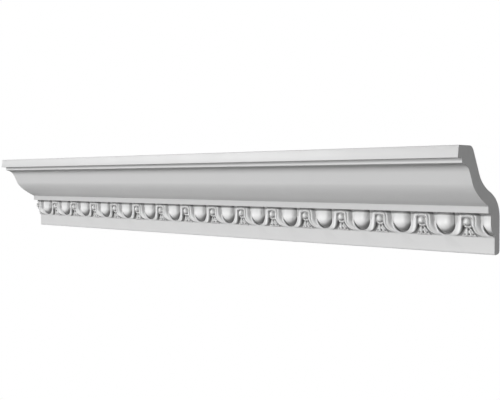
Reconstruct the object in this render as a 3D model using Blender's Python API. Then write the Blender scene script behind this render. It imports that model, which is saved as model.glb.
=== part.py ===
"""Cornice moulding with an egg-and-dart course, moulded in one piece of rigid foam.

X runs along the moulding, the wall is the plane Y = 0 with the face towards -Y, and Z is up.
The origin is the middle of the flat face that bears on the wall.
"""

import math

import bpy

MM = 0.001

# Driving sizes of the section, in millimetres
HEIGHT = 130.0
PROJECTION = 100.0
BAND_THICKNESS = 12.4
FASCIA_HEIGHT = 14.4
FASCIA_LEAN = 2.2
BEAD_STEP = 9.6
BEAD_HEIGHT = 5.6
FILLET_REACH = 28.4
FILLET_TOP = 58.4
FILLET_BOTTOM = 50.6
WALL_FACE_BOTTOM = 5.0
WALL_FACE_TOP = 44.0
CEILING_FACE_BACK = 73.0
BAND_FOOT = 2.2

# Points of the section where its curves start, turn and end, as (reach from the wall, height)
CYMA_FOOT = (29.0, 59.4)
CYMA_TURN = (59.6, 73.7)
CYMA_END = (66.1, 86.0)
COVE_START = (72.2, 98.4)
COVE_TURN = (76.8, 107.1)
COVE_END = (86.0, 109.1)
TOP_BACK_TURN = (66.5, HEIGHT)
TOP_BACK_END = (62.8, 121.6)
HOLLOW_START = (50.8, 98.0)
HOLLOW_TURN = (44.1, 84.3)
HOLLOW_END = (25.5, 76.8)
WALL_TOP_TURN = (0.0, 66.5)
BACK_FOOT_TURN = (0.2, 1.0)
BACK_FOOT_END = (6.4, 0.4)

# Driving sizes of the egg-and-dart course, in millimetres, heights counted from the bottom edge
REPEAT = 64.5
HALF_REPEATS = 31
COURSE_BOTTOM = 20.1
EGG_CENTRE = 42.0
EGG_HALF_WIDTH = 12.9
EGG_BELOW = 17.8
EGG_ABOVE = 20.0
EGG_PROUD = 9.9
GROOVE = 1.0
GROOVE_BELOW = 0.2
LIP_CENTRE = 41.5
LIP_HALF_WIDTH = 14.6
LIP_BELOW = 19.2
LIP_PROUD = 2.1
LIP_PROUD_SIDE = 3.6
RIM_CENTRE = 39.0
RIM_HALF_WIDTH = 24.9
RIM_BELOW = 18.3
RIM_PROUD = 9.6
RIM_PROUD_BELOW = 0.4
SHOULDER = 1.6
VALLEY_DIP = 2.4
ARCH_CROWN = 45.2
ARCH_CORNER = 42.0
WALL_SLOPE = 0.8
RECESS = 3.0

# Sizes of the dart: a lobed leaf, a neck, a collar and a ball
LEAF_TOP = 29.6
LEAF_HALF_WIDTHS = (11.5, 5.6)
LEAF_PROUD = 5.4
NECK_TOP = 31.9
NECK_HALF_WIDTH = 4.6
NECK_PROUD = 4.4
COLLAR_TOP = 35.0
COLLAR_HALF_WIDTH = 5.2
COLLAR_PROUD = 7.2
BALL_RADIUS = 4.7
BALL_CENTRE = 39.7
BALL_PROUD = 10.6
LEAF_TAPER = 0.7
FLANK_SHARE = 0.75
FLANK_RISE = 0.7
ARCH_SHARE = 0.9

# Powers above 2 square off the ellipses of the egg, the lip, the rim and the arch
EGG_POWER = 2.3
LIP_POWER = 2.3
RIM_POWER = 2.8
ARCH_POWER = 2.6
ROW_POWER = 1.4
RIM_FALL = 1.8
CORNER_CLIMB = 2.5

# Rings of the egg, and places of the lines between the lip and the rim, as shares
EGG_RINGS = (0.6, 0.88)
EGG_HEART = 0.3
VALLEY_SHARE = 0.25
SHOULDER_SHARE = 0.72

# Heights of the rows that cross the dart, from the foot of its leaf to the crown of its arch
ROWS = [COURSE_BOTTOM, 20.8, 22.8, 25.9, LEAF_TOP, NECK_TOP, 34.0, 35.8, 38.2, 41.4, 43.6, ARCH_CROWN]
SIDE_ROW = 8
LAST_ROW = len(ROWS) - 1
SHOULDER_LINE = 6
FOOT_LINE = 8

HALF = REPEAT / 2
LENGTH = HALF_REPEATS * HALF
LEFT_END = -LENGTH / 2
RIGHT_END = LENGTH / 2
ORIGIN_HEIGHT = (WALL_FACE_BOTTOM + WALL_FACE_TOP) / 2


def clear_scene():
    for obj in list(bpy.data.objects):
        bpy.data.objects.remove(obj, do_unlink=True)


def mix(a, b, share):
    return a + (b - a) * share


def rise(value, low, high):
    """0 below low, 1 above high, and a straight ramp between."""
    return min(1.0, max(0.0, (value - low) / (high - low)))


def bow(start, corner, end, steps):
    """A parabola from start to end that leaves and arrives along its tangents through corner."""
    points = []
    for step in range(1, steps + 1):
        t = step / steps
        points.append(tuple(
            (1 - t) ** 2 * a + 2 * t * (1 - t) * c + t**2 * b
            for a, c, b in zip(start, corner, end)
        ))
    return points


def front_above_course():
    """(reach from the wall, height) from the fillet over the course up to the front top edge."""
    step_back = PROJECTION - BEAD_STEP
    fascia_bottom = HEIGHT - FASCIA_HEIGHT
    outline = [(FILLET_REACH, FILLET_TOP), CYMA_FOOT] + bow(CYMA_FOOT, CYMA_TURN, CYMA_END, 8)
    outline += [COVE_START] + bow(COVE_START, COVE_TURN, COVE_END, 6)
    outline += [(step_back, fascia_bottom - BEAD_HEIGHT), (step_back, fascia_bottom)]
    return outline + [(PROJECTION, fascia_bottom), (PROJECTION - FASCIA_LEAN, HEIGHT)]


def back_outline():
    """(reach, height) from the ceiling face down the hollow back and round to the front bottom edge."""
    outline = [(CEILING_FACE_BACK, HEIGHT)]
    outline += bow(outline[-1], TOP_BACK_TURN, TOP_BACK_END, 4)
    outline += [HOLLOW_START] + bow(HOLLOW_START, HOLLOW_TURN, HOLLOW_END, 6)
    outline += bow(HOLLOW_END, WALL_TOP_TURN, (0.0, WALL_FACE_TOP), 8)
    outline += [(0.0, WALL_FACE_BOTTOM)]
    outline += bow(outline[-1], BACK_FOOT_TURN, BACK_FOOT_END, 3)
    outline += [(BAND_THICKNESS - BAND_FOOT, 0.0)]
    return outline + bow(outline[-1], (BAND_THICKNESS, 0.0), (BAND_THICKNESS, BAND_FOOT), 2)


def turn_at(row):
    """How far round the rim's lower bend a row is, from 0 under the egg to 1 at its side."""
    if row >= SIDE_ROW:
        return 1.0
    drop = (ROWS[SIDE_ROW] - ROWS[row]) / (ROWS[SIDE_ROW] - COURSE_BOTTOM)
    return math.acos(drop**ROW_POWER) / (math.pi / 2)


def climb_at(row):
    """0 up to the side row, then the share of the way up to the top of the course."""
    return max(0.0, (row - SIDE_ROW) / (LAST_ROW - SIDE_ROW))


def u_point(turn, half_width, centre, below, power):
    """A point on a squared-off bowl: straight under the egg at turn 0, out at its side at turn 1."""
    angle = turn * math.pi / 2
    return (
        half_width * math.sin(angle) ** (2 / power),
        centre - below * max(0.0, math.cos(angle)) ** (2 / power),
    )


def egg_middle(row):
    return 0.0, mix(EGG_CENTRE - EGG_HEART * EGG_BELOW, FILLET_BOTTOM, row / LAST_ROW)


def egg_ring(row, size):
    """A ring of the egg at this share of its outline, cut off flat by the fillet above."""
    if row <= SIDE_ROW:
        return u_point(turn_at(row), size * EGG_HALF_WIDTH, EGG_CENTRE, size * EGG_BELOW, EGG_POWER)
    height = mix(EGG_CENTRE, FILLET_BOTTOM, climb_at(row))
    narrowing = (height - EGG_CENTRE) / EGG_ABOVE
    return EGG_HALF_WIDTH * (size**EGG_POWER - narrowing**EGG_POWER) ** (1 / EGG_POWER), height


def groove_proud(height):
    """The bottom of the groove round the egg, which lies deepest under the egg."""
    return mix(GROOVE, GROOVE_BELOW, rise(EGG_CENTRE - height, 0.0, EGG_BELOW))


def egg_proud(x, height):
    """How far the egg stands out of the band."""
    reach = EGG_BELOW if height < EGG_CENTRE else EGG_ABOVE
    inside = 1 - (x / EGG_HALF_WIDTH) ** EGG_POWER - (abs(height - EGG_CENTRE) / reach) ** EGG_POWER
    return mix(groove_proud(height), EGG_PROUD, math.sqrt(max(0.0, inside)))


def lip(row):
    """The thin edge round the egg."""
    x, height = u_point(turn_at(row), LIP_HALF_WIDTH, LIP_CENTRE, LIP_BELOW, LIP_POWER)
    return x, mix(height, FILLET_BOTTOM, climb_at(row))


def rim_edge(row, widening, crown):
    """The rim's outer edge, which closes in an arch over the ball."""
    half_width = RIM_HALF_WIDTH + widening
    if row <= SIDE_ROW:
        return u_point(turn_at(row), half_width, RIM_CENTRE, RIM_BELOW + widening, RIM_POWER)
    height = mix(RIM_CENTRE, crown, rise(ROWS[row], ROWS[SIDE_ROW], ARCH_CROWN))
    bend = rise(height, min(ARCH_CORNER, crown), crown)
    opening = HALF - half_width
    return HALF - opening * max(0.0, 1 - bend**ARCH_POWER) ** (1 / ARCH_POWER), height


def husk_line(row, share):
    """A line at this share of the way from the lip to the rim."""
    x, height = rim_edge(row, 0.0, ARCH_CROWN + WALL_SLOPE)
    in_x, in_height = lip(row)
    return mix(in_x, x, share), mix(mix(in_height, height, share), FILLET_BOTTOM, climb_at(row))


def shoulder(row):
    """The line behind the rim's edge, which runs up into the corner under the fillet."""
    x, height = husk_line(row, SHOULDER_SHARE)
    return mix(x, HALF, climb_at(row) ** CORNER_CLIMB), height


def dart_half_width(height):
    """Half the width of the dart at this height."""
    if height < LEAF_TOP:
        low, high = LEAF_HALF_WIDTHS
        return mix(low, high, rise(height, COURSE_BOTTOM, LEAF_TOP) ** LEAF_TAPER)
    if height < NECK_TOP:
        return NECK_HALF_WIDTH
    if height < COLLAR_TOP:
        return COLLAR_HALF_WIDTH
    return math.sqrt(max(0.0, BALL_RADIUS**2 - (height - BALL_CENTRE) ** 2))


def dart_proud(height):
    """How far the middle of the dart stands out of the band."""
    if height < LEAF_TOP:
        return LEAF_PROUD * rise(height, COURSE_BOTTOM, LEAF_TOP)
    if height < NECK_TOP:
        return NECK_PROUD
    if height < COLLAR_TOP:
        return COLLAR_PROUD
    bulge = max(0.0, 1 - ((height - BALL_CENTRE) / BALL_RADIUS) ** 2)
    return mix(RECESS, BALL_PROUD, math.sqrt(bulge))


def recess_proud(height):
    return RECESS * rise(height, COURSE_BOTTOM, LEAF_TOP)


def rim_lines(row):
    """The points of one row from the middle of the egg out to the foot of the rim."""
    side = math.sin(turn_at(row) * math.pi / 2) ** RIM_FALL
    crest = mix(RIM_PROUD_BELOW, RIM_PROUD, side)
    behind = crest - SHOULDER * side
    edge = mix(LIP_PROUD, LIP_PROUD_SIDE, side)
    in_valley = mix(edge, behind, VALLEY_SHARE / SHOULDER_SHARE) - VALLEY_DIP * side
    spots = [egg_middle(row)] + [egg_ring(row, size) for size in EGG_RINGS]
    lines = [(x, height, egg_proud(x, height)) for x, height in spots]
    foot = egg_ring(row, 1.0)
    lines.append((*foot, groove_proud(foot[1])))
    lines.append((*lip(row), edge))
    lines.append((*husk_line(row, VALLEY_SHARE), in_valley))
    lines.append((*shoulder(row), behind))
    lines.append((*rim_edge(row, 0.0, ARCH_CROWN + WALL_SLOPE), crest))
    foot_x, _ = rim_edge(row, WALL_SLOPE, ARCH_CROWN)
    lines.append((foot_x, ROWS[row], recess_proud(ROWS[row])))
    return lines


def dart_lines(row):
    """The points of one row from the outline of the dart in to its middle."""
    if row == LAST_ROW:
        return []
    height = ROWS[row]
    foot_x, _ = rim_edge(row, WALL_SLOPE, ARCH_CROWN)
    half_width = min(dart_half_width(height), ARCH_SHARE * (HALF - foot_x))
    low = recess_proud(height)
    top = max(low, dart_proud(height))
    return [
        (HALF - half_width, height, low),
        (HALF - FLANK_SHARE * half_width, height, mix(low, top, FLANK_RISE)),
        (HALF, height, top),
    ]


class Shell:
    """Gathers the corners and faces of the moulding, with each corner made once."""

    def __init__(self):
        self.corners = []
        self.places = {}
        self.faces = []

    def corner(self, x, reach, height):
        place = (round(x, 4), round(reach, 4), round(height, 4))
        if place not in self.places:
            self.places[place] = len(self.corners)
            self.corners.append((x * MM, -reach * MM, (height - ORIGIN_HEIGHT) * MM))
        return self.places[place]

    def face(self, loop):
        kept = [index for index, before in zip(loop, loop[-1:] + loop[:-1]) if index != before]
        if len(set(kept)) > 2:
            self.faces.append(kept)


def add_half_repeat(shell, egg_x, side):
    """One side of an egg, from its middle to the middle of the next dart, on side +1 or -1."""

    def place(x, height, proud):
        return shell.corner(egg_x + side * x, BAND_THICKNESS + proud, height)

    rows = []
    for row in range(LAST_ROW + 1):
        rows.append([place(*point) for point in rim_lines(row) + dart_lines(row)])
    for low, high in zip(rows, rows[1:]):
        high = high + [high[-1]] * (len(low) - len(high))
        for left, right in zip(range(len(low) - 1), range(1, len(low))):
            loop = [low[left], low[right], high[right], high[left]]
            shell.face(loop if side > 0 else loop[::-1])
    crown = rows[-1][SHOULDER_LINE:]
    return {
        "top": rows[-1][: SHOULDER_LINE + 1],
        "bottom": rows[0][FOOT_LINE:],
        "egg_middle": rows[0][FOOT_LINE::-1] + [line[0] for line in rows[1:]],
        "dart_middle": [line[-1] for line in rows[:-1]] + crown[::-1],
    }


def add_course(shell):
    """The whole course, and the outlines that its plain neighbours have to meet."""
    shapes, fillet_loop, bottom_loop = [], [], []
    for index in range(HALF_REPEATS):
        start = LEFT_END + index * HALF
        from_dart = index % 2 == 0
        egg_x = start + HALF if from_dart else start
        shape = add_half_repeat(shell, egg_x, -1 if from_dart else 1)
        along = -1 if from_dart else 1
        low = shell.corner(start, FILLET_REACH, FILLET_BOTTOM)
        high = shell.corner(start + HALF, FILLET_REACH, FILLET_BOTTOM)
        shell.face(shape["top"][::along] + [high, low])
        bottom_loop += [spot for spot in shape["bottom"][::along] if spot not in bottom_loop[-1:]]
        fillet_loop += [spot for spot in (low, high) if spot not in fillet_loop[-1:]]
        shapes.append(shape)
    return shapes, fillet_loop, bottom_loop


def add_runs(shell, shapes, fillet_loop, bottom_loop):
    """The plain faces that run the whole length, and the two square-cut ends."""
    outline = front_above_course() + back_outline()
    left = [shell.corner(LEFT_END, reach, height) for reach, height in outline]
    right = [shell.corner(RIGHT_END, reach, height) for reach, height in outline]
    for a, b, c, d in zip(left, right, right[1:], left[1:]):
        shell.face([a, b, c, d])
    shell.face(fillet_loop + [right[0], left[0]])
    shell.face([left[-1], right[-1]] + bottom_loop[::-1])
    shell.face(left + shapes[0]["dart_middle"] + [fillet_loop[0]])
    shell.face((right + shapes[-1]["egg_middle"] + [fillet_loop[-1]])[::-1])


def foam_material():
    material = bpy.data.materials.new("primed_foam")
    material.use_nodes = True
    shader = material.node_tree.nodes["Principled BSDF"]
    shader.inputs["Base Color"].default_value = (0.86, 0.86, 0.86, 1.0)
    shader.inputs["Roughness"].default_value = 0.55
    shader.inputs["Metallic"].default_value = 0.0
    return material


def main():
    clear_scene()
    shell = Shell()
    add_runs(shell, *add_course(shell))
    mesh = bpy.data.meshes.new("cornice_moulding")
    mesh.from_pydata(shell.corners, [], shell.faces)
    mesh.validate()
    moulding = bpy.data.objects.new("cornice_moulding", mesh)
    bpy.context.collection.objects.link(moulding)
    moulding.data.materials.append(foam_material())


main()
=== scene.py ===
# %% [markdown]
# # A cornice moulding with an egg-and-dart course
#
# The object is one length of cornice moulding, for the angle of wall and ceiling. Such
# lengths are usually poured in rigid foam in a long mould and primed white, and this one is
# taken to be made so. Everything on it belongs to a single body: a leaning fascia at the
# top, a small bead, a cyma (the long S-shaped face), a flat fillet, a course of eggs and
# darts, and a plain band that rests on the wall. Behind, it is hollow, to save foam and to
# bridge the corner.
#
# The model is made the way the mould is: one section that never changes, and one piece of
# carving that repeats. We first load the finished solid as a fixed frame, because the new
# surface has to stay inside it.

import math

import bmesh
import bpy
import numpy as np
from mathutils import Euler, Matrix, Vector


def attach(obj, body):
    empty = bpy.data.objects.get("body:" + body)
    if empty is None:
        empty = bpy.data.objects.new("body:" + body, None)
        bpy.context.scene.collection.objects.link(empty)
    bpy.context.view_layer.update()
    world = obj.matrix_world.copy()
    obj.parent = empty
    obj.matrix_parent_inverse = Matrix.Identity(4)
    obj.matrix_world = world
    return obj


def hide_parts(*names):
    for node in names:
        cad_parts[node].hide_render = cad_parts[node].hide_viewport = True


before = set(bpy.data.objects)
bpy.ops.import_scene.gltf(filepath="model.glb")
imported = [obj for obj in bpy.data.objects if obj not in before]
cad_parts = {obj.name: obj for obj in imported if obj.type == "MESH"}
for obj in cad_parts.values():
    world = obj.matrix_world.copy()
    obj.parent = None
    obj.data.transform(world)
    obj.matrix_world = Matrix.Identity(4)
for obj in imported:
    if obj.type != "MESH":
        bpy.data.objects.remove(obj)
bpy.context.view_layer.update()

# %% [markdown]
# ## Units and the shared frame
#
# X runs along the moulding, the wall is the plane Y = 0, and Z is up. A moulding is drawn as
# a section: how far each point reaches from the wall, and how high it is above the bottom
# edge. So the moulding's sizes are in millimetres, in the section's own terms, and one small
# function turns them into places in the scene. The camera and the studio are in metres.

# %% Turn section sizes into places
MM = 0.001
WALL_FACE_BOTTOM = 5.0
WALL_FACE_TOP = 44.0
ORIGIN_HEIGHT = (WALL_FACE_BOTTOM + WALL_FACE_TOP) / 2


def place(along, reach, height):
    """A point of the moulding, given in millimetres, as a point of the scene in metres."""
    return along * MM, -reach * MM, (height - ORIGIN_HEIGHT) * MM


def mix(a, b, share):
    """The value at this share of the way from a to b."""
    return a + (b - a) * share


def ramp(value, low, high):
    """0 below low, 1 above high, and a straight climb between."""
    return min(1.0, max(0.0, (value - low) / (high - low)))


def ease(value, low, high):
    """The same climb with a soft start and end."""
    share = ramp(value, low, high)
    return share * share * (3 - 2 * share)


def hump(value, centre, width):
    """A soft bump of height 1 around centre."""
    return math.exp(-((value - centre) / width) ** 2)


print("origin above the bottom edge, mm:", ORIGIN_HEIGHT)

# %% [markdown]
# ## The camera
#
# The photograph was taken from in front and to the right, level with the upper part of the
# moulding. The straight edges and the even repeat of the eggs give the place and the lens:
# the left end shows less than six tenths as high as the right.

# %% Make the camera
CAMERA_PLACE = (0.9757, -0.9293, 0.0653)
CAMERA_YAW = 43.94
CAMERA_PITCH = -1.35
CAMERA_LENS = 59.5
CAMERA_SENSOR = 36.0

camera_data = bpy.data.cameras.new("camera")
camera_data.lens = CAMERA_LENS
camera_data.sensor_width = CAMERA_SENSOR
camera = bpy.data.objects.new("camera", camera_data)
camera.location = CAMERA_PLACE
camera.rotation_euler = Euler((math.radians(90 + CAMERA_PITCH), 0, math.radians(CAMERA_YAW)))
bpy.context.scene.collection.objects.link(camera)
bpy.context.scene.camera = camera
print("camera is", round(Vector(CAMERA_PLACE).length, 2), "m from the middle of the wall face")

# %% [markdown]
# ## The section
#
# The real moulding has no knife edges: foam and primer leave every corner slightly round,
# and that is what catches the light along a fascia or a fillet. The section is drawn with
# straight runs and parabolas, then its corners are softened by one function. Drawing the
# curves from tangents keeps them as smooth as a draughtsman's template would.

# %% Draw curves and soften corners
HEIGHT = 130.0
PROJECTION = 100.0
CORNER_CUT = 0.7
CORNER_STEPS = 3
CORNER_TURN = math.radians(20)
LARGEST_CUT_SHARE = 0.4


def bow(start, corner, end, steps):
    """A parabola from start to end that leaves and arrives along its tangents through corner."""
    points = []
    for step in range(1, steps + 1):
        t = step / steps
        points.append(tuple(
            (1 - t) ** 2 * a + 2 * t * (1 - t) * c + t**2 * b
            for a, c, b in zip(start, corner, end)
        ))
    return points


def soften(outline):
    """The outline with each sharp corner, apart from its two ends, cut by a short bow."""
    soft = [outline[0]]
    for before, corner, after in zip(outline, outline[1:], outline[2:]):
        come = Vector(corner) - Vector(before)
        go = Vector(after) - Vector(corner)
        if come.angle(go) < CORNER_TURN:
            soft.append(corner)
            continue
        cut = min(CORNER_CUT, LARGEST_CUT_SHARE * come.length, LARGEST_CUT_SHARE * go.length)
        start = tuple(Vector(corner) - cut * come.normalized())
        end = tuple(Vector(corner) + cut * go.normalized())
        soft += [start] + bow(start, corner, end, CORNER_STEPS)
    return soft + [outline[-1]]


print("each corner is cut by", CORNER_CUT, "mm, in", CORNER_STEPS, "steps")

# %% Draw the face above the course
FILLET_REACH = 28.4
FILLET_TOP = 58.4
FILLET_BOTTOM = 50.6
SECTION_START = 1.0  # how far below the fillet's top the section starts
CYMA_FOOT = (29.0, 59.4)
CYMA_LEANS_TO = (59.6, 73.7)
CYMA_MIDDLE = (66.1, 86.0)
CYMA_THROAT = (72.2, 98.4)
CYMA_STEPS = 22
COVE_LEANS_TO = (76.8, 107.1)
COVE_TOP_REACH = 86.0
COVE_LEDGE = 0.9
COVE_STEPS = 12
BEAD_STEP = 9.6
BEAD_HEIGHT = 5.6
FASCIA_HEIGHT = 14.4
FASCIA_LEAN = 2.2


def face_outline():
    """(reach, height) from the fillet over the course up to the front top edge."""
    fascia_bottom = HEIGHT - FASCIA_HEIGHT
    bead_bottom = fascia_bottom - BEAD_HEIGHT
    cove_top = (COVE_TOP_REACH, bead_bottom - COVE_LEDGE)
    outline = [(FILLET_REACH, FILLET_TOP - SECTION_START), (FILLET_REACH, FILLET_TOP), CYMA_FOOT]
    outline += bow(CYMA_FOOT, CYMA_LEANS_TO, CYMA_MIDDLE, CYMA_STEPS) + [CYMA_THROAT]
    outline += bow(CYMA_THROAT, COVE_LEANS_TO, cove_top, COVE_STEPS)
    outline += [(PROJECTION - BEAD_STEP, bead_bottom), (PROJECTION - BEAD_STEP, fascia_bottom)]
    return outline + [(PROJECTION, fascia_bottom), (PROJECTION - FASCIA_LEAN, HEIGHT)]


print("face above the course:", len(face_outline()), "points")

# %% [markdown]
# The back is what nobody sees once it is up: a flat strip against the ceiling, a flat strip
# against the wall, and a hollow between them that follows the face. Each bow below leans to
# a corner point that it doesn't touch.

# %% Draw the back, and join both into one section
CEILING_FACE_BACK = 73.0
HOLLOW_LIP_LEANS_TO = (66.5, HEIGHT)
HOLLOW_LIP = (62.8, 121.6)
HOLLOW_WAIST = (50.8, 98.0)
HOLLOW_BEND_LEANS_TO = (44.1, 84.3)
HOLLOW_BEND = (25.5, 76.8)
HOLLOW_FOOT_LEANS_TO = (0.0, 66.5)
WALL_CORNER_LEANS_TO = (0.2, 1.0)
WALL_CORNER = (6.4, 0.4)
BAND_THICKNESS = 12.4
BAND_FOOT = 2.2
BACK_STEPS = 12


def back_outline():
    """(reach, height) from the ceiling face down the hollow and round to the bottom front edge."""
    short_steps = BACK_STEPS // 2
    outline = [(CEILING_FACE_BACK, HEIGHT)]
    outline += bow(outline[-1], HOLLOW_LIP_LEANS_TO, HOLLOW_LIP, short_steps) + [HOLLOW_WAIST]
    outline += bow(HOLLOW_WAIST, HOLLOW_BEND_LEANS_TO, HOLLOW_BEND, BACK_STEPS)
    outline += bow(HOLLOW_BEND, HOLLOW_FOOT_LEANS_TO, (0.0, WALL_FACE_TOP), BACK_STEPS)
    outline += [(0.0, WALL_FACE_BOTTOM)]
    outline += bow(outline[-1], WALL_CORNER_LEANS_TO, WALL_CORNER, short_steps)
    outline += [(BAND_THICKNESS - BAND_FOOT, 0.0)]
    return outline + bow(outline[-1], (BAND_THICKNESS, 0.0), (BAND_THICKNESS, BAND_FOOT), short_steps)


section = soften(face_outline() + back_outline())
print("section:", len(section), "points from the fillet round to the foot of the band")

# %% [markdown]
# ## The carving
#
# Egg and dart is a classical ornament. Each egg sits in a U-shaped husk with a thin lip
# round the egg, a concave side and a raised rim. Between two husks is the dart, here a ball
# under a little arch, on a collar, over a lobed leaf. Everything is symmetric about the
# egg's middle and about the dart's middle, so half a repeat is enough.
#
# The surface could be a picture-like height map on an even grid, but then every edge would
# be a staircase. Instead the mesh lines follow the carving: rows fan out from the egg's
# middle, bend round the husk, and cross the dart level. A row is named by its level, the
# height at which it crosses the dart.

# %% Name the sizes of the carving
REPEAT = 64.5
HALF = REPEAT / 2
COURSE_BOTTOM = 20.1
SIDE_LEVEL = 38.2
EGG_CENTRE = 42.0
EGG_HALF_WIDTH = 12.9
EGG_BELOW = 17.8
EGG_ABOVE = 20.0
EGG_PROUD = 9.9
EGG_HEART = 0.3
EGG_SWELL = 0.5
EGG_POWER = 2.3
GROOVE = 3.2
GROOVE_BELOW = -1.0
LIP_HALF_WIDTH = 14.6
LIP_CENTRE = 41.5
LIP_BELOW = 19.2
LIP_POWER = 2.3
RIM_CENTRE = 39.0
RIM_HALF_WIDTH = 24.9
RIM_BELOW = 18.3
RIM_POWER = 2.8
ARCH_CROWN = 45.2
ARCH_CORNER = 42.0
ARCH_POWER = 2.6
WALL_SLOPE = 0.8
RECESS = 1.6
ARCH_FLOOR = 6.2

print("course:", round(FILLET_BOTTOM - COURSE_BOTTOM, 1), "mm high, repeat", REPEAT, "mm")

# %% [markdown]
# The egg's edge and the husk are drawn with squared-off bowls, which are ellipses with a
# power above 2. The lowest row leaves the egg straight down. At the side level a row leaves
# it sideways, and from there up the rows climb together until the last one runs along the
# fillet.

# %% Draw the lines of the husk
BEND = 1.4
RIM_SHARE = 0.72
LIP_LEAN = 0.6  # how far the lip leans towards the egg on its way up
RIM_BACK_BEND = 2.5  # how late the back of the rim turns to the dart's middle


def between(first, last, share):
    """The point at this share of the way from the first to the last."""
    return tuple(mix(a, b, share) for a, b in zip(first, last))


def turn_at(level):
    """How far round the husk a row has turned, from 0 under the egg to 1 at its side."""
    drop = ramp(SIDE_LEVEL - level, 0.0, SIDE_LEVEL - COURSE_BOTTOM)
    return math.acos(drop**BEND) / (math.pi / 2)


def climb_at(level):
    """0 up to the side level, then the share of the way up to the fillet."""
    return ramp(level, SIDE_LEVEL, ARCH_CROWN)


def bowl(turn, half_width, centre, below, power):
    """A point on a squared-off bowl, straight down at turn 0 and out to the side at turn 1."""
    angle = turn * math.pi / 2
    return (
        half_width * math.sin(angle) ** (2 / power),
        centre - below * max(0.0, math.cos(angle)) ** (2 / power),
    )


def egg_outline(level):
    """The egg's edge, which the fillet cuts off above."""
    climb = climb_at(level)
    if climb == 0:
        return bowl(turn_at(level), EGG_HALF_WIDTH, EGG_CENTRE, EGG_BELOW, EGG_POWER)
    height = mix(EGG_CENTRE, FILLET_BOTTOM, climb)
    narrowing = (height - EGG_CENTRE) / EGG_ABOVE
    return EGG_HALF_WIDTH * (1 - narrowing**EGG_POWER) ** (1 / EGG_POWER), height


def egg_line(level, share):
    """A point between the egg's middle line at share 0 and its edge at share 1."""
    whole = ramp(level, COURSE_BOTTOM, ARCH_CROWN)
    middle = (0.0, mix(EGG_CENTRE - EGG_HEART * EGG_BELOW, FILLET_BOTTOM, whole))
    return between(middle, egg_outline(level), share)


def lip_line(level):
    """The crest of the husk's lip, beside the egg."""
    climb = climb_at(level)
    x, height = bowl(turn_at(level), LIP_HALF_WIDTH, LIP_CENTRE, LIP_BELOW, LIP_POWER)
    return x - LIP_LEAN * climb, mix(height, FILLET_BOTTOM, climb)


def rim_line(level, widening, crown):
    """The husk's outer edge, which closes in an arch over the ball."""
    if climb_at(level) == 0:
        return bowl(turn_at(level), RIM_HALF_WIDTH + widening, RIM_CENTRE,
                    RIM_BELOW + widening, RIM_POWER)
    height = mix(RIM_CENTRE, crown, climb_at(level))
    bend = ramp(height, min(ARCH_CORNER, crown), crown)
    opening = HALF - RIM_HALF_WIDTH - widening
    return HALF - opening * max(0.0, 1 - bend**ARCH_POWER) ** (1 / ARCH_POWER), height


def rim_back(level):
    """The inner side of the rim, which runs up into the corner under the fillet."""
    x, height = rim_line(level, 0.0, ARCH_CROWN + WALL_SLOPE)
    in_x, in_height = lip_line(level)
    climb = climb_at(level)
    beside = mix(in_x, x, RIM_SHARE)
    below = mix(in_height, height, RIM_SHARE)
    return mix(beside, HALF, climb**RIM_BACK_BEND), mix(below, FILLET_BOTTOM, climb)


for line in (egg_outline, lip_line, rim_back):
    print(line.__name__, "at the side level:", [round(value, 1) for value in line(SIDE_LEVEL)])

# %% [markdown]
# Next comes how far each of these lines stands out of the band. The egg is half a blunt
# ellipsoid set in a groove, which is deepest under it. The husk's lip is a ridge beside the
# egg. From a valley behind it the husk climbs to its rim, with a soft roll and a fine groove
# that fade out lower down, as they do in the photograph. At the very bottom lip and rim run
# together into one round bar.

# %% Raise the egg and the husk
LIP_PROUD = 2.1
LIP_PROUD_SIDE = 3.6
RIM_PROUD = 9.6
RIM_PROUD_BELOW = 0.4
RIM_PROUD_ARCH = 8.4
RIM_FALL = 1.8
SHOULDER = 1.6
VALLEY = 2.4
ROLL = 0.5
FINE_GROOVE = 0.6
# where a feature lies across the husk, and how wide it is, as shares of the way to the rim
VALLEY_PLACE = (0.28, 0.18)
ROLL_PLACE = (0.72, 0.16)
FINE_GROOVE_PLACE = (1.0, 0.08)
VALLEY_LEFT_BELOW = 0.3
UPPER_HUSK = (28.0, 37.0)
ARCH_START = 0.5
RIM_DROP = 0.6
RIM_DROP_POWER = 6
GROOVE_SINKS = (4.0, 14.0)  # between these distances below the egg's centre
GROOVE_FLOOR_SHARE = 0.3


def egg_proud(x, height):
    """How far the egg stands out of the band."""
    reach = EGG_BELOW if height < EGG_CENTRE else EGG_ABOVE
    inside = 1 - (x / EGG_HALF_WIDTH) ** EGG_POWER - (abs(height - EGG_CENTRE) / reach) ** EGG_POWER
    foot = mix(GROOVE, GROOVE_BELOW, ease(EGG_CENTRE - height, *GROOVE_SINKS))
    return mix(foot, EGG_PROUD, max(0.0, inside) ** EGG_SWELL)


def groove_proud(share, height, edge):
    """Across the groove, from the egg's foot at share 0 up the inside of the lip to its crest."""
    return mix(egg_proud(EGG_HALF_WIDTH, height), edge, ease(share, GROOVE_FLOOR_SHARE, 1.0))


def side_share(level):
    """0 at the bottom of the husk, and 1 where it stands upright beside the egg."""
    return math.sin(turn_at(level) * math.pi / 2) ** RIM_FALL


def lip_proud(level):
    """How far the crest of the lip stands out of the band."""
    return mix(LIP_PROUD, LIP_PROUD_SIDE, side_share(level))


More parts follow.
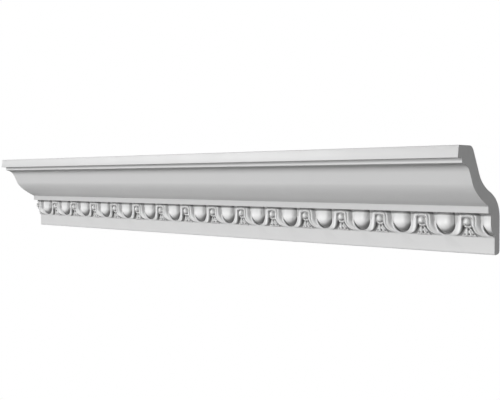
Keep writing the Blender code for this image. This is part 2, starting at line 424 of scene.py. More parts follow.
def husk_proud(level, share):
    """Across the husk, from the lip's crest at share 0 to the rim's outer edge at share 1."""
    upper = ease(level, *UPPER_HUSK)
    side = side_share(level)
    arch = ease(climb_at(level), ARCH_START, 1.0)
    crest = mix(mix(RIM_PROUD_BELOW, RIM_PROUD, side), RIM_PROUD_ARCH, arch)
    shoulder = crest - SHOULDER * side
    if share > RIM_SHARE:
        over = (share - RIM_SHARE) / (1 - RIM_SHARE)
        drop = RIM_DROP * side * over**RIM_DROP_POWER
        return mix(shoulder, crest, 1 - (1 - over) ** 2) - drop
    across = share / RIM_SHARE
    relief = (
        upper * ROLL * hump(across, *ROLL_PLACE)
        - mix(VALLEY_LEFT_BELOW, 1.0, upper) * side * VALLEY * hump(across, *VALLEY_PLACE)
        - upper * FINE_GROOVE * hump(across, *FINE_GROOVE_PLACE)
    )
    return mix(lip_proud(level), shoulder, across) + relief


print("egg stands", egg_proud(0.0, EGG_CENTRE), "mm out of the band, the rim", RIM_PROUD, "mm")

# %% [markdown]
# The dart lies in a recess between two husks. Its parts are described by where they stand:
# a ball, a collar, and a leaf whose lobes fan out from a point above it, with drilled eyes
# in the furrows. The highest of them wins at each point.

# %% Raise the dart
BALL_RADIUS = 4.3
BALL_CENTRE = 39.7
BALL_PROUD = 10.6
COLLAR_CENTRE = 33.4
COLLAR_HALF_HEIGHT = 1.3
COLLAR_HALF_WIDTH = 5.4
COLLAR_PROUD = 7.2
LEAF_TOP = 32.6
LEAF_ROOT = 36.0
LEAF_TIP = 22.0
LEAF_PROUD = 5.4
LEAF_PROUD_BELOW = 3.0
LEAF_FULL = 31.0
LEAF_SPREAD = 36.0
LEAF_SIDE_EDGE = 3.0
LEAF_TOP_EDGE = 0.4
LEAF_TIP_ROUNDING = 0.6
LOBE_PITCH = 27.0
LOBE_RISE = 1.5
LOBE_MIDDLE = 0.4
LOBES_FADE_IN = (LEAF_TIP - 0.3, 24.5)
LOBES_CALM_DOWN = (28.0, LEAF_FULL)
LOBES_CALMED = 0.7
COLLAR_POWER = 6
COLLAR_FOOT = 1.0
RECESS_FULL = 24.5
ARCH_FLOOR_RISES = (31.0, 36.0)
# distance from the dart's middle, height, radius and depth of each eye
EYES = ((0.0, 30.0, 1.3, 3.2), (0.0, 23.9, 1.1, 2.2), (5.9, 23.8, 1.1, 2.2))


def recess_proud(height):
    """The floor between two husks, which rises towards the arch."""
    low = RECESS * ramp(height, COURSE_BOTTOM, RECESS_FULL)
    return mix(low, ARCH_FLOOR, ease(height, *ARCH_FLOOR_RISES))


def leaf_proud(off, height):
    """The leaf's surface, at this distance from the dart's middle."""
    spread = math.degrees(math.atan2(off, LEAF_ROOT - height))
    body = mix(LEAF_PROUD_BELOW, LEAF_PROUD, ramp(height, LEAF_TIP, LEAF_FULL))
    body *= ease(height, COURSE_BOTTOM, LEAF_TIP + LEAF_TIP_ROUNDING)
    lobe = 0.5 - 0.5 * math.cos(2 * math.pi * spread / LOBE_PITCH)
    fade = ease(height, *LOBES_FADE_IN) * (1 - LOBES_CALMED * ease(height, *LOBES_CALM_DOWN))
    surface = body + LOBE_RISE * fade * (lobe - LOBE_MIDDLE)
    inside = ease(LEAF_SPREAD - spread, 0.0, LEAF_SIDE_EDGE)
    inside *= ease(LEAF_TOP - height, 0.0, LEAF_TOP_EDGE)
    return mix(recess_proud(height), surface, inside)


def dart_proud(off, height):
    """How far the dart, or the floor beside it, stands out of the band."""
    proud = max(recess_proud(height), leaf_proud(off, height) if height < LEAF_TOP else 0.0)
    inside = 1 - ((height - COLLAR_CENTRE) / COLLAR_HALF_HEIGHT) ** 2
    inside -= (off / COLLAR_HALF_WIDTH) ** COLLAR_POWER
    if inside > 0:
        proud = max(proud, mix(RECESS + COLLAR_FOOT, COLLAR_PROUD, math.sqrt(inside)))
    from_ball = math.hypot(off, height - BALL_CENTRE)
    if from_ball < BALL_RADIUS:
        proud = max(proud, BALL_PROUD - BALL_RADIUS + math.sqrt(BALL_RADIUS**2 - from_ball**2))
    for eye_off, eye_height, radius, depth in EYES:
        away = math.hypot(off - eye_off, height - eye_height)
        proud -= depth * hump(away, 0.0, radius)
    return max(proud, 0.0)


# how the dense mesh lines of the dart narrow from the leaf to its waist and round the ball
DENSE_BELOW = 11.6
DENSE_WAIST = 30.5
DENSE_FLARE = 0.8
DENSE_ROUND_BALL = 1.3
DENSE_LEAST = 0.6


def dart_half_width(height):
    """Half the width that the dense mesh lines of the dart cover."""
    if height < BALL_CENTRE:
        flare = ramp(height, COURSE_BOTTOM, DENSE_WAIST) ** DENSE_FLARE
        return mix(DENSE_BELOW, COLLAR_HALF_WIDTH, flare)
    left = DENSE_ROUND_BALL * BALL_RADIUS**2 - (height - BALL_CENTRE) ** 2
    return max(DENSE_LEAST, math.sqrt(max(0.0, left)))


print("eyes drilled in each leaf:", sum(1 if eye[0] == 0 else 2 for eye in EYES))

# %% [markdown]
# ## Half a slice of moulding
#
# A slice is a piece of the whole moulding one repeat long: carving, band, fillet, cyma, top
# and back, all round but open at its two cut sides. Half of it is enough, from the middle of
# an egg to the middle of a dart. A small collector makes each corner only once, so that the
# faces share their corners and the result is a closed skin.

# %% Collect corners and faces
SAME_SPOT_DIGITS = 3


class Skin:
    """Corners and faces of a part of the moulding's surface."""

    def __init__(self):
        self.corners = []
        self.spots = []
        self.places = {}
        self.faces = []

    def corner(self, along, reach, height):
        spot = tuple(round(value, SAME_SPOT_DIGITS) for value in (along, reach, height))
        if spot not in self.places:
            self.places[spot] = len(self.corners)
            self.corners.append(place(along, reach, height))
            self.spots.append((along, reach, height))
        return self.places[spot]

    def face(self, loop):
        kept = [index for index, before in zip(loop, loop[-1:] + loop[:-1]) if index != before]
        if len(set(kept)) > 2:
            self.faces.append(kept)

    def strip(self, low, high):
        """Faces between two lines of corners that run the same way."""
        for a, b, c, d in zip(low, low[1:], high[1:], high):
            self.face([a, b, c, d])


print("places are told apart to", 10**-SAME_SPOT_DIGITS, "mm")

# %% [markdown]
# Each row of the carving is a list of stations across it. Close to an edge they are dense,
# on a smooth stretch they are wide apart.

# %% Set the stations of a row
EGG_STATIONS = [0.0, 0.2, 0.38, 0.54, 0.68, 0.8, 0.9, 0.97, 1.0]
GROOVE_STATIONS = [0.35, 0.45, 0.65, 0.85, 1.0]
HUSK_STATIONS = [0.05, 0.11, 0.17, 0.23, 0.3, 0.37, 0.45, 0.54, 0.62, 0.67, 0.72, 0.77, 0.84, 0.93, 1.0]
WALL_STATIONS = [0.5]
FLOOR_STATIONS = [0.0, 0.3, 0.65]
DART_STATIONS = 15
DART_SHARE_OF_ROOM = 0.9


def row_stations(level):
    """(x, height, proud) from the egg's middle to the dart's middle along one row."""
    stations = []
    for share in EGG_STATIONS:
        x, height = egg_line(level, share)
        stations.append((x, height, egg_proud(x if share < 1 else EGG_HALF_WIDTH, height)))
    egg, lip, back = egg_line(level, 1.0), lip_line(level), rim_back(level)
    rim = rim_line(level, 0.0, ARCH_CROWN + WALL_SLOPE)
    for share in GROOVE_STATIONS:
        spot = between(egg, lip, share)
        stations.append((*spot, groove_proud(share, spot[1], lip_proud(level))))
    for share in HUSK_STATIONS:
        if share > RIM_SHARE:
            spot = between(back, rim, (share - RIM_SHARE) / (1 - RIM_SHARE))
        else:
            spot = between(lip, back, share / RIM_SHARE)
        stations.append((*spot, husk_proud(level, share)))
    foot_x = rim_line(level, WALL_SLOPE, ARCH_CROWN)[0]
    foot = (foot_x, level, dart_proud(HALF - foot_x, level))
    for share in WALL_STATIONS:
        stations.append(between(stations[-1], foot, share))
    room = HALF - foot_x
    width = min(dart_half_width(level), DART_SHARE_OF_ROOM * room)
    offs = [mix(room, width, share) for share in FLOOR_STATIONS]
    offs += [width * (1 - step / DART_STATIONS) for step in range(DART_STATIONS + 1)]
    return stations + [(HALF - off, level, dart_proud(off, level)) for off in offs]


LOWER_ROWS = 36
UPPER_ROWS = 15
levels = [
    SIDE_LEVEL - (SIDE_LEVEL - COURSE_BOTTOM) * math.cos(math.pi / 2 * row / LOWER_ROWS) ** (1 / BEND)
    for row in range(LOWER_ROWS)
]
levels += [mix(SIDE_LEVEL, ARCH_CROWN, row / UPPER_ROWS) for row in range(UPPER_ROWS + 1)]
stations_across = len(row_stations(COURSE_BOTTOM))
print("carving of half a repeat:", len(levels), "rows of", stations_across, "stations")

# %% [markdown]
# The carving meets the fillet above and the band below along lines with many corners, while
# the plain faces need only two. Both joints lie in flat faces, so one many-sided face each
# takes up the difference without a crack.

# %% Build half a slice
LAST_HUSK = len(EGG_STATIONS) + len(GROOVE_STATIONS) + HUSK_STATIONS.index(RIM_SHARE)
FIRST_FLOOR = len(EGG_STATIONS) + len(GROOVE_STATIONS) + len(HUSK_STATIONS) + len(WALL_STATIONS)


def build_half_slice():
    """Half a slice, from the egg's middle at X 0 to the dart's middle."""
    skin = Skin()
    rows = []
    for level in levels:
        rows.append([
            skin.corner(x, BAND_THICKNESS + proud, height)
            for x, height, proud in row_stations(level)
        ])
    for low, high in zip(rows, rows[1:]):
        skin.strip(low, high)
    carved_faces = len(skin.faces)
    top = row_stations(levels[-1])[: LAST_HUSK + 1]
    edge = soften([(0.0, FILLET_BOTTOM), (FILLET_REACH, FILLET_BOTTOM), section[0]])[1:-1]
    lines = [rows[-1][: LAST_HUSK + 1]]
    for reach, height in edge:
        lines.append([skin.corner(x, reach, height) for x, _, _ in top])
    for low, high in zip(lines, lines[1:]):
        skin.strip(low, high)
    egg_side, dart_side = (
        [skin.corner(x, reach, height) for reach, height in section] for x in (0.0, HALF)
    )
    skin.strip(dart_side, egg_side)
    # one many-sided face on the front of the fillet, and one on the band
    skin.face(lines[-1] + [dart_side[0], egg_side[0]])
    skin.face([egg_side[-1], dart_side[-1]] + rows[0][FIRST_FLOOR:][::-1])
    return skin, carved_faces


half_slice, carved_faces = build_half_slice()
print("half a slice:", len(half_slice.corners), "corners,", len(half_slice.faces), "faces")

# %% [markdown]
# ## Painted shade and highlight
#
# In the photograph the eggs are brighter than the band, and the hollows under them darker,
# than the lamps alone explain. Product pictures often have their contrast raised in this
# way. Nothing shows that the paint itself differs, so this is painted light, a choice made
# for the look: a value on every corner, here called its painted light, paints a highlight on
# what stands out and paints shade in a hollow. Each carved corner is compared with the
# surface just above it, which shelters it, and with the average of the wider surface around
# it, which it may stand out of. The band below and the fillet above count as neighbours too,
# so the fillet paints a shadow under it, and mirrored copies stand in for the carving on both sides.
#
# Higher up no rule is at work: four spots of the section are painted, with shade under the
# fascia, in the cove and at the foot of the cyma, and a highlight on the bead. All the
# strengths, also those of the rule, were tuned against the photograph by comparing grey
# levels. Whoever wants an even white for other lamps can give every corner the plain value.

# %% Work out the painted shade and highlight on every corner
SHELTER_REACH = 1.0
SHELTER_RISE = 2.6
SHELTER_FREE = 0.3
SHELTERED = 2.0
EXPOSED_REACH = 8.0
EXPOSED = 2.2
PLAIN_PAINTED_LIGHT = 0.5
PAINTED_LIGHT_FADE = 2.5
SECTION_SHADES = (
    # name, reach, height, how far it spreads, and how much painted shade it gives, below 0 where it
    # gives a painted highlight
    ("under the fascia", 90.4, 115.6, 1.8, 0.42),
    ("bead", 90.4, 111.3, 2.0, -0.36),
    ("cove", 84.0, 108.2, 6.5, 0.42),
    ("foot of the cyma", 31.0, 57.0, 10.0, 0.15),
)
PLAIN_MARGIN = 9.0
SAMPLE_STEP = 1.0


def neighbourhood():
    """Samples of the surface round the carving, as (x, height, proud, area)."""
    samples = []
    for loop in half_slice.faces[:carved_faces]:
        spots = np.array([half_slice.spots[index] for index in loop])
        after = np.roll(spots, -1, axis=0)
        area = abs(np.sum(spots[:, 0] * after[:, 2] - after[:, 0] * spots[:, 2])) / 2
        x, reach, height = spots.mean(axis=0)
        samples.append((x, height, reach - BAND_THICKNESS, area))
    area = SAMPLE_STEP**2
    for x in np.arange(SAMPLE_STEP / 2, HALF, SAMPLE_STEP):
        for step in np.arange(SAMPLE_STEP / 2, PLAIN_MARGIN, SAMPLE_STEP):
            samples.append((x, COURSE_BOTTOM - step, 0.0, area))
            samples.append((x, FILLET_BOTTOM + step, FILLET_REACH - BAND_THICKNESS, area))
    samples = np.array(samples)
    mirrored = [samples * (-1, 1, 1, 1), samples * (-1, 1, 1, 1) + (2 * HALF, 0, 0, 0)]
    return np.vstack([samples, *mirrored])


def average_near(samples, x, height, reach):
    """The average proud height of the surface round a place, with near samples counting most."""
    away = (samples[:, 0] - x) ** 2 + (samples[:, 1] - height) ** 2
    weight = samples[:, 3] * np.exp(-away / (2 * reach**2))
    return np.sum(weight * samples[:, 2]) / np.sum(weight)


def painted_light_of_corners():
    """The painted light on each corner, from 0, full painted shade where it is sheltered, to 1, a full
    painted highlight where it stands out.
    """
    spots = np.array(half_slice.spots)
    x, height, proud = spots[:, 0], spots[:, 2], spots[:, 1] - BAND_THICKNESS
    samples = neighbourhood()
    painted_light = np.full(len(spots), PLAIN_PAINTED_LIGHT)
    # painted shadow under the fascia, painted highlight on the bead, painted shade in the cove and at
    # the foot of the cyma
    for _, shade_reach, shade_height, spread, darkening in SECTION_SHADES:
        away = (spots[:, 1] - shade_reach) ** 2 + (height - shade_height) ** 2
        painted_light -= darkening * np.exp(-away / spread**2)
    carved = sorted({index for loop in half_slice.faces[:carved_faces] for index in loop})
    # painted shade where a carved corner is sheltered from above, painted highlight where it stands out
    for index in carved:
        above = average_near(samples, x[index], height[index] + SHELTER_RISE, SHELTER_REACH)
        around = average_near(samples, x[index], height[index], EXPOSED_REACH)
        less = ramp(above - proud[index], SHELTER_FREE, SHELTERED)
        more = ramp(proud[index] - around, 0.0, EXPOSED)
        fade = ease(height[index], COURSE_BOTTOM, COURSE_BOTTOM + PAINTED_LIGHT_FADE)
        painted_light[index] = PLAIN_PAINTED_LIGHT + (1 - PLAIN_PAINTED_LIGHT) * fade * (more * (1 - less) - less)
    return painted_light


painted_light_values = painted_light_of_corners()
print("coat from", round(painted_light_values.min(), 2), "to", round(painted_light_values.max(), 2))

# %% [markdown]
# ## Whole slices
#
# A whole slice is that half and its mirror image. Mirroring turns faces inside out, so the
# mirrored loops are reversed as they are made. The moulding shown starts in the middle of a
# dart and ends in the middle of an egg, which takes fifteen whole slices and one left half.

# %% Make the two slices as meshes
def slice_mesh(name, sides):
    """A mesh of the half slice on the sides given: +1 as built, -1 mirrored."""
    corners, faces = [], []
    for side in sides:
        start = len(corners)
        corners += [(side * x, y, z) for x, y, z in half_slice.corners]
        for loop in half_slice.faces:
            shifted = [start + index for index in loop]
            faces.append(shifted if side > 0 else shifted[::-1])
    mesh = bpy.data.meshes.new(name)
    mesh.from_pydata(corners, [], faces)
    # the painted shade and highlight ride on the corners as an attribute
    mesh.attributes.new("painted_light", "FLOAT", "POINT").data.foreach_set("value", np.tile(painted_light_values, len(sides)))
    slice_object = bpy.data.objects.new(name, mesh)
    bpy.context.scene.collection.objects.link(slice_object)
    slice_object.hide_render = True
    return slice_object


whole_slice = slice_mesh("whole_slice", (-1, 1))
left_half_slice = slice_mesh("left_half_slice", (-1,))
print("whole slice:", len(whole_slice.data.polygons), "faces")

# %% [markdown]
# ## Finishes
#
# The face is primed: a thin coat of white paint on foam, satin matt and even, with the very
# fine pebbling of a spray gun. The cut ends show the same white body with tiny pores, and
# the back is bare mould skin, slightly cloudier. All three need the same ingredients, so a
# node group mixes them: a tone that drifts a little over the surface and follows the painted
# shade and highlight, a roughness that drifts too, and a height for the bump. The lamps make
# most of the shading, and the painted light on the primed face adds to it.

# %% Build the shared skin group
def new_node(tree, kind, values=(), **settings):
    """A node of this kind, with settings on the node and values on its named inputs."""
    node = tree.nodes.new(kind)
    for name, value in settings.items():
        setattr(node, name, value)
    for name, value in dict(values).items():
        node.inputs[name].default_value = value
    return node


def grey(value):
    """An even grey as red, green, blue and alpha."""
    return (value, value, value, 1.0)


# what share of the tone is left where the painted light is 0 (full painted shade), plain, and 1 (full
# painted highlight)
PAINTED_SHADE_TONE = 0.28
PLAIN_TONE = 0.78
PAINTED_HIGHLIGHT_TONE = 1.0
PORE_WIDTH = 0.35
# a Mix node repeats its socket names for each kind of data, so they are found by number
MIX_FACTOR, MIX_COLOR_A, MIX_COLOR_B, MIX_COLOR_RESULT = 0, 6, 7, 2
MIX_FLOAT_A, MIX_FLOAT_B, MIX_FLOAT_RESULT = 2, 3, 0


def build_skin_group():
    """The node group that turns tones, scales and the painted shade and highlight into colour,
    roughness and height.
    """
    group = bpy.data.node_groups.new("moulded_skin", "ShaderNodeTree")
    sockets = (
        ("Tone", "NodeSocketColor", (0.8, 0.8, 0.8, 1.0)),
        ("Cloud Tone", "NodeSocketColor", (0.78, 0.78, 0.78, 1.0)),
        ("Cloud Scale", "NodeSocketFloat", 18.0),
        ("Grain Scale", "NodeSocketFloat", 900.0),
        ("Pore Scale", "NodeSocketFloat", 1500.0),
        ("Pore Depth", "NodeSocketFloat", 0.0),
        ("Coat", "NodeSocketFloat", PLAIN_PAINTED_LIGHT),
        ("Roughness Low", "NodeSocketFloat", 0.45),
        ("Roughness High", "NodeSocketFloat", 0.55),
    )
    for name, kind, value in sockets:
        group.interface.new_socket(name, in_out="INPUT", socket_type=kind).default_value = value
    for name, kind in (("Color", "NodeSocketColor"), ("Roughness", "NodeSocketFloat"),
                       ("Height", "NodeSocketFloat")):
        group.interface.new_socket(name, in_out="OUTPUT", socket_type=kind)
    given = group.nodes.new("NodeGroupInput")
    made = group.nodes.new("NodeGroupOutput")
    coordinates = group.nodes.new("ShaderNodeTexCoord")
    cloud = new_node(group, "ShaderNodeTexNoise", {"Detail": 3.0, "Roughness": 0.55})
    grain = new_node(group, "ShaderNodeTexNoise", {"Detail": 2.0, "Roughness": 0.5})
    pores = new_node(group, "ShaderNodeTexVoronoi", feature="F1")
    pit = new_node(group, "ShaderNodeMapRange", {"From Min": 0.0, "From Max": PORE_WIDTH})
    tone = new_node(group, "ShaderNodeMix", data_type="RGBA")
    shade = group.nodes.new("ShaderNodeValToRGB")
    tone_with_painted_light = new_node(group, "ShaderNodeMix", {"Factor": 1.0}, data_type="RGBA", blend_type="MULTIPLY")
    rough = new_node(group, "ShaderNodeMix", data_type="FLOAT")
    depth = new_node(group, "ShaderNodeMath", operation="MULTIPLY")
    height = new_node(group, "ShaderNodeMath", operation="ADD")
    link = group.links.new
    for texture, scale in ((cloud, "Cloud Scale"), (grain, "Grain Scale"), (pores, "Pore Scale")):
        link(coordinates.outputs["Object"], texture.inputs["Vector"])
        link(given.outputs[scale], texture.inputs["Scale"])
    link(cloud.outputs["Fac"], tone.inputs[MIX_FACTOR])
    link(given.outputs["Tone"], tone.inputs[MIX_COLOR_A])
    link(given.outputs["Cloud Tone"], tone.inputs[MIX_COLOR_B])
    link(cloud.outputs["Fac"], rough.inputs[MIX_FACTOR])
    link(given.outputs["Roughness Low"], rough.inputs[MIX_FLOAT_A])
    link(given.outputs["Roughness High"], rough.inputs[MIX_FLOAT_B])
    link(pores.outputs["Distance"], pit.inputs["Value"])
    link(pit.outputs["Result"], depth.inputs[0])
    link(given.outputs["Pore Depth"], depth.inputs[1])
    link(grain.outputs["Fac"], height.inputs[0])
    link(depth.outputs["Value"], height.inputs[1])
    # the ramp turns the painted light into a share of the tone: painted shade below plain, painted
    # highlight above
    first_stop, last_stop = shade.color_ramp.elements
    first_stop.color = grey(PAINTED_SHADE_TONE)
    last_stop.color = grey(PAINTED_HIGHLIGHT_TONE)
    shade.color_ramp.elements.new(PLAIN_PAINTED_LIGHT).color = grey(PLAIN_TONE)
    link(given.outputs["Coat"], shade.inputs["Fac"])
    link(tone.outputs[MIX_COLOR_RESULT], tone_with_painted_light.inputs[MIX_COLOR_A])
    link(shade.outputs["Color"], tone_with_painted_light.inputs[MIX_COLOR_B])
    link(tone_with_painted_light.outputs[MIX_COLOR_RESULT], made.inputs["Color"])
    link(rough.outputs[MIX_FLOAT_RESULT], made.inputs["Roughness"])
    link(height.outputs["Value"], made.inputs["Height"])
    return group


skin_group = build_skin_group()
print("skin group:", len(skin_group.nodes), "nodes")

# %% [markdown]
# Each finish places the group with its own values. The bump distances are true sizes: a
# spray coat pebbles by a few hundredths of a millimetre. Only the primed face reads the
# painted shade and highlight of the corners.

# %% Mix the three finishes
def finish_material(name, skin_values, bump_distance, specular):
    """A finish with its own values of the skin group, and the bump in metres."""
    material = bpy.data.materials.new(name)
    material.use_nodes = True
    tree = material.node_tree
    shader = tree.nodes["Principled BSDF"]
    shader.inputs["Specular IOR Level"].default_value = specular
    skin = tree.nodes.new("ShaderNodeGroup")
    skin.name = "skin"
    skin.node_tree = skin_group
    for socket, value in skin_values.items():
        skin.inputs[socket].default_value = value
    bump = new_node(tree, "ShaderNodeBump", {"Strength": 1.0, "Distance": bump_distance})
    tree.links.new(skin.outputs["Color"], shader.inputs["Base Color"])
    tree.links.new(skin.outputs["Roughness"], shader.inputs["Roughness"])
    tree.links.new(skin.outputs["Height"], bump.inputs["Height"])
    tree.links.new(bump.outputs["Normal"], shader.inputs["Normal"])
    return material


primed_face = finish_material(
    "primed_face",
    {"Tone": grey(0.93), "Cloud Tone": grey(0.90), "Roughness Low": 0.38, "Roughness High": 0.46},
    0.02 * MM, 0.5,
)
sawn_end = finish_material(
    "sawn_end",
    {"Tone": grey(0.76), "Cloud Tone": grey(0.70), "Cloud Scale": 60.0, "Pore Depth": 1.5,
     "Roughness Low": 0.75, "Roughness High": 0.85},
    0.05 * MM, 0.3,
)
mould_back = finish_material(
    "mould_back",
    {"Tone": grey(0.76), "Cloud Tone": grey(0.68), "Cloud Scale": 30.0, "Grain Scale": 420.0,
     "Pore Depth": 0.4, "Roughness Low": 0.6, "Roughness High": 0.72},
    0.06 * MM, 0.35,
)

primer = primed_face.node_tree
# the primed face reads the painted shade and highlight from its corners
painted_light_reader = new_node(primer, "ShaderNodeAttribute", attribute_name="painted_light")
primer.links.new(painted_light_reader.outputs["Fac"], primer.nodes["skin"].inputs["Coat"])
print("finishes:", primed_face.name, sawn_end.name, mould_back.name)

# %% [markdown]
# ## Running the slices into a length
#
# Geometry Nodes repeat the slice. A mesh line sets one point for each slice, Instance on
# Points stands a slice on each, the last half slice is moved to the end, and all are made
# real. Merge by Distance then welds the cut sides, so the skin runs through. The numbers
# are named inputs of the tree, so a longer moulding is one changed value here. The weld
# distance is tiny, because it only has to bridge rounding between neighbouring slices.

# %% Build the tree that repeats the slice
SLICES = 15
LENGTH = (SLICES + 0.5) * REPEAT
WELD = 0.004


def build_run_tree():
    """The Geometry Nodes tree that stands the slices in a row and welds them."""
    tree = bpy.data.node_groups.new("run_of_slices", "GeometryNodeTree")
    tree.interface.new_socket("Geometry", in_out="OUTPUT", socket_type="NodeSocketGeometry")
    inputs = (
        ("Whole Slice", "NodeSocketObject"), ("Last Slice", "NodeSocketObject"),
        ("Slices", "NodeSocketInt"), ("Repeat", "NodeSocketFloat"),
        ("First Middle", "NodeSocketFloat"), ("Weld Distance", "NodeSocketFloat"),
        ("Finish", "NodeSocketMaterial"),
    )
    for name, kind in inputs:
        tree.interface.new_socket(name, in_out="INPUT", socket_type=kind)
    given = tree.nodes.new("NodeGroupInput")
    made = tree.nodes.new("NodeGroupOutput")
    start = tree.nodes.new("ShaderNodeCombineXYZ")
    step = tree.nodes.new("ShaderNodeCombineXYZ")
    line = new_node(tree, "GeometryNodeMeshLine", mode="OFFSET", count_mode="TOTAL")
    whole = tree.nodes.new("GeometryNodeObjectInfo")
    last = tree.nodes.new("GeometryNodeObjectInfo")
    stand = tree.nodes.new("GeometryNodeInstanceOnPoints")
    along = new_node(tree, "ShaderNodeMath", operation="MULTIPLY_ADD")
    beside = tree.nodes.new("ShaderNodeCombineXYZ")
    move = tree.nodes.new("GeometryNodeTransform")
    join = tree.nodes.new("GeometryNodeJoinGeometry")
    real = tree.nodes.new("GeometryNodeRealizeInstances")
    weld = tree.nodes.new("GeometryNodeMergeByDistance")
    finish = tree.nodes.new("GeometryNodeSetMaterial")
    link = tree.links.new
    link(given.outputs["First Middle"], start.inputs["X"])
    link(given.outputs["Repeat"], step.inputs["X"])
    link(given.outputs["Slices"], line.inputs["Count"])
    link(start.outputs["Vector"], line.inputs["Start Location"])
    link(step.outputs["Vector"], line.inputs["Offset"])
    link(given.outputs["Whole Slice"], whole.inputs["Object"])
    link(given.outputs["Last Slice"], last.inputs["Object"])
    link(line.outputs["Mesh"], stand.inputs["Points"])
    link(whole.outputs["Geometry"], stand.inputs["Instance"])
    link(given.outputs["Slices"], along.inputs[0])
    link(given.outputs["Repeat"], along.inputs[1])
    link(given.outputs["First Middle"], along.inputs[2])
    link(along.outputs["Value"], beside.inputs["X"])
    link(last.outputs["Geometry"], move.inputs["Geometry"])
    link(beside.outputs["Vector"], move.inputs["Translation"])
    link(move.outputs["Geometry"], join.inputs["Geometry"])
    link(stand.outputs["Instances"], join.inputs["Geometry"])
    link(join.outputs["Geometry"], real.inputs["Geometry"])
    link(real.outputs["Geometry"], weld.inputs["Geometry"])
    link(given.outputs["Weld Distance"], weld.inputs["Distance"])
    link(weld.outputs["Geometry"], finish.inputs["Geometry"])
    link(given.outputs["Finish"], finish.inputs["Material"])
    link(finish.outputs["Geometry"], made.inputs["Geometry"])
    return tree


run_tree = build_run_tree()
print("run tree:", len(run_tree.nodes), "nodes")

# %% Run it once and keep the plain mesh
def run_slices():
    """The whole run as a plain mesh. The carrier and the slices are removed after it."""
    carrier = bpy.data.objects.new("run_carrier", bpy.data.meshes.new("run_carrier"))
    bpy.context.scene.collection.objects.link(carrier)
    run = carrier.modifiers.new("run_of_slices", "NODES")
    run.node_group = run_tree
    values = {
        "Whole Slice": whole_slice, "Last Slice": left_half_slice, "Slices": SLICES,
        "Repeat": REPEAT * MM, "First Middle": (HALF - LENGTH / 2) * MM,
        "Weld Distance": WELD * MM, "Finish": primed_face,
    }
    for item in run_tree.interface.items_tree:
        if item.name in values:
            run[item.identifier] = values[item.name]
    evaluated = carrier.evaluated_get(bpy.context.evaluated_depsgraph_get())
    mesh = bpy.data.meshes.new_from_object(evaluated)
    for helper in (carrier, whole_slice, left_half_slice):
        bpy.data.objects.remove(helper)
    return mesh


run_mesh = run_slices()
print("run:", len(run_mesh.vertices), "corners,", len(run_mesh.polygons), "faces")

# %% [markdown]
# ## Closing the ends and giving each face its finish
#
# The run is still open where the saw went through. Each opening is one flat loop, so one
# face closes it. Then every face is sorted by where it looks: the two end faces get the
# sawn finish, and what looks back towards the wall gets the mould skin. The underside of the
# fillet and the foot of the band stay primed, because they are seen from below.

# %% Close, sort and shade the faces
SMOOTH_ANGLE = math.radians(32)
LOOKS_BACK = 0.3
PRIMED, SAWN, BARE = range(3)


def close_ends(mesh):
    """Fills the two cut ends, sets the finishes, and returns how many open edges were left."""
    shape = bmesh.new()
    shape.from_mesh(mesh)
    openings = [edge for edge in shape.edges if edge.is_boundary]
    ends = bmesh.ops.edgeloop_fill(shape, edges=openings)["faces"]
    for face in ends:
        face.material_index = SAWN
    shape.normal_update()
    for face in ends:
        if face.normal.x * face.calc_center_median().x < 0:
            face.normal_flip()
    for face in shape.faces:
        if face.material_index == PRIMED and face.normal.y > LOOKS_BACK:
            face.material_index = BARE
    left_open = sum(1 for edge in shape.edges if len(edge.link_faces) != 2)
    shape.to_mesh(mesh)
    shape.free()
    return left_open


run_mesh.materials.clear()
for material in (primed_face, sawn_end, mould_back):
    run_mesh.materials.append(material)
open_edges = close_ends(run_mesh)
run_mesh.shade_smooth()
run_mesh.set_sharp_from_angle(angle=SMOOTH_ANGLE)
run_mesh.calc_loop_triangles()
print("triangles:", len(run_mesh.loop_triangles), "open edges:", open_edges)

# %% [markdown]
# ## Standing in for the solid
#
# The new skin takes the place of the plain solid and rides on the same body.

# %% Put the moulding in the frame
moulding = bpy.data.objects.new("egg_and_dart_cornice", run_mesh)
bpy.context.scene.collection.objects.link(moulding)
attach(moulding, "root")
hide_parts("cornice_moulding")

# %% [markdown]
# ## The studio
#
# The photograph is a product shot on pure white, with a soft light from the left that
# models the eggs and a broad one from low in front that fills the cyma. A third lamp, at
# the right, lights the cut end. The floor and the world look white to the camera but light
# the object only a little, so that the lamps can model it. A weak lamp behind serves views
# of the back.

# %% Lay the floor and set the world
FLOOR_DROP = 1.7
FLOOR_SIZE = 30.0
FLOOR_TONE = 0.36
FLOOR_ROUGHNESS = 0.9
WORLD_LIGHT = 0.03

bpy.context.scene.view_settings.view_transform = "Standard"


def white_to_camera(tree, shader, output):
    """Shows plain white to the camera, and the shader given to everything else."""
    seen = new_node(tree, "ShaderNodeLightPath")
    white = new_node(tree, "ShaderNodeEmission", {"Color": grey(1.0), "Strength": 1.0})
    choose = tree.nodes.new("ShaderNodeMixShader")
    tree.links.new(seen.outputs["Is Camera Ray"], choose.inputs[0])
    tree.links.new(shader, choose.inputs[1])
    tree.links.new(white.outputs["Emission"], choose.inputs[2])
    tree.links.new(choose.outputs["Shader"], output)


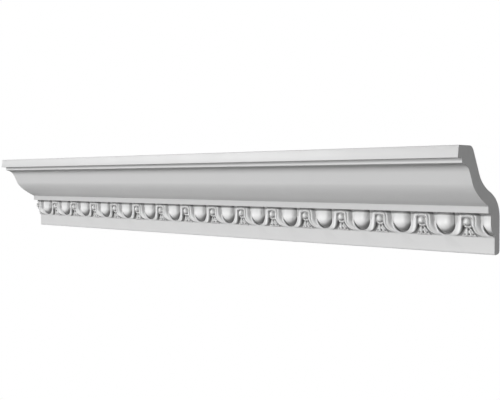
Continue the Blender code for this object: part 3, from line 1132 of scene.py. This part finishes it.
def build_world():
    """A world that looks white and gives a little even light."""
    world = bpy.data.worlds.new("white_studio")
    bpy.context.scene.world = world
    world.use_nodes = True
    tree = world.node_tree
    ambient = tree.nodes["Background"]
    ambient.inputs["Color"].default_value = grey(1.0)
    ambient.inputs["Strength"].default_value = WORLD_LIGHT
    white_to_camera(tree, ambient.outputs["Background"], tree.nodes["World Output"].inputs["Surface"])


def build_floor():
    """A wide pale floor under the moulding."""
    material = bpy.data.materials.new("pale_floor")
    material.use_nodes = True
    tree = material.node_tree
    shader = tree.nodes["Principled BSDF"]
    shader.inputs["Base Color"].default_value = grey(FLOOR_TONE)
    shader.inputs["Roughness"].default_value = FLOOR_ROUGHNESS
    white_to_camera(tree, shader.outputs["BSDF"], tree.nodes["Material Output"].inputs["Surface"])
    half = FLOOR_SIZE / 2
    mesh = bpy.data.meshes.new("floor")
    corners = ((-half, -half), (half, -half), (half, half), (-half, half))
    mesh.from_pydata([(x, y, -FLOOR_DROP) for x, y in corners], [], [(0, 1, 2, 3)])
    mesh.materials.append(material)
    floor = bpy.data.objects.new("floor", mesh)
    bpy.context.scene.collection.objects.link(floor)
    return floor


build_world()
floor = build_floor()
print("floor lies", FLOOR_DROP, "m below the origin")

# %% Hang the lamps
LAMPS = (
    # name, azimuth and elevation in degrees, distance and size in metres, power in watts
    ("key_left", -45, 16, 18, 3.8, 1342),
    ("front_soft", -6, -6, 4, 1.4, 85),
    ("right_fill", 112, 8, 6, 3, 104),
    ("back_fill", 200, 25, 6, 3, 90),
)


def hang_lamp(name, azimuth, elevation, distance, size, power):
    """A square soft box aimed at the moulding. Azimuth 0 is in front of it, 90 at its right."""
    turn, lift = math.radians(azimuth), math.radians(elevation)
    away = Vector((math.sin(turn) * math.cos(lift), -math.cos(turn) * math.cos(lift), math.sin(lift)))
    data = bpy.data.lights.new(name, "AREA")
    data.size = size
    data.energy = power
    lamp = bpy.data.objects.new(name, data)
    lamp.location = away * distance
    lamp.rotation_euler = away.to_track_quat("Z", "Y").to_euler()
    bpy.context.scene.collection.objects.link(lamp)


for lamp_values in LAMPS:
    hang_lamp(*lamp_values)
print("lamps:", [lamp_values[0] for lamp_values in LAMPS])
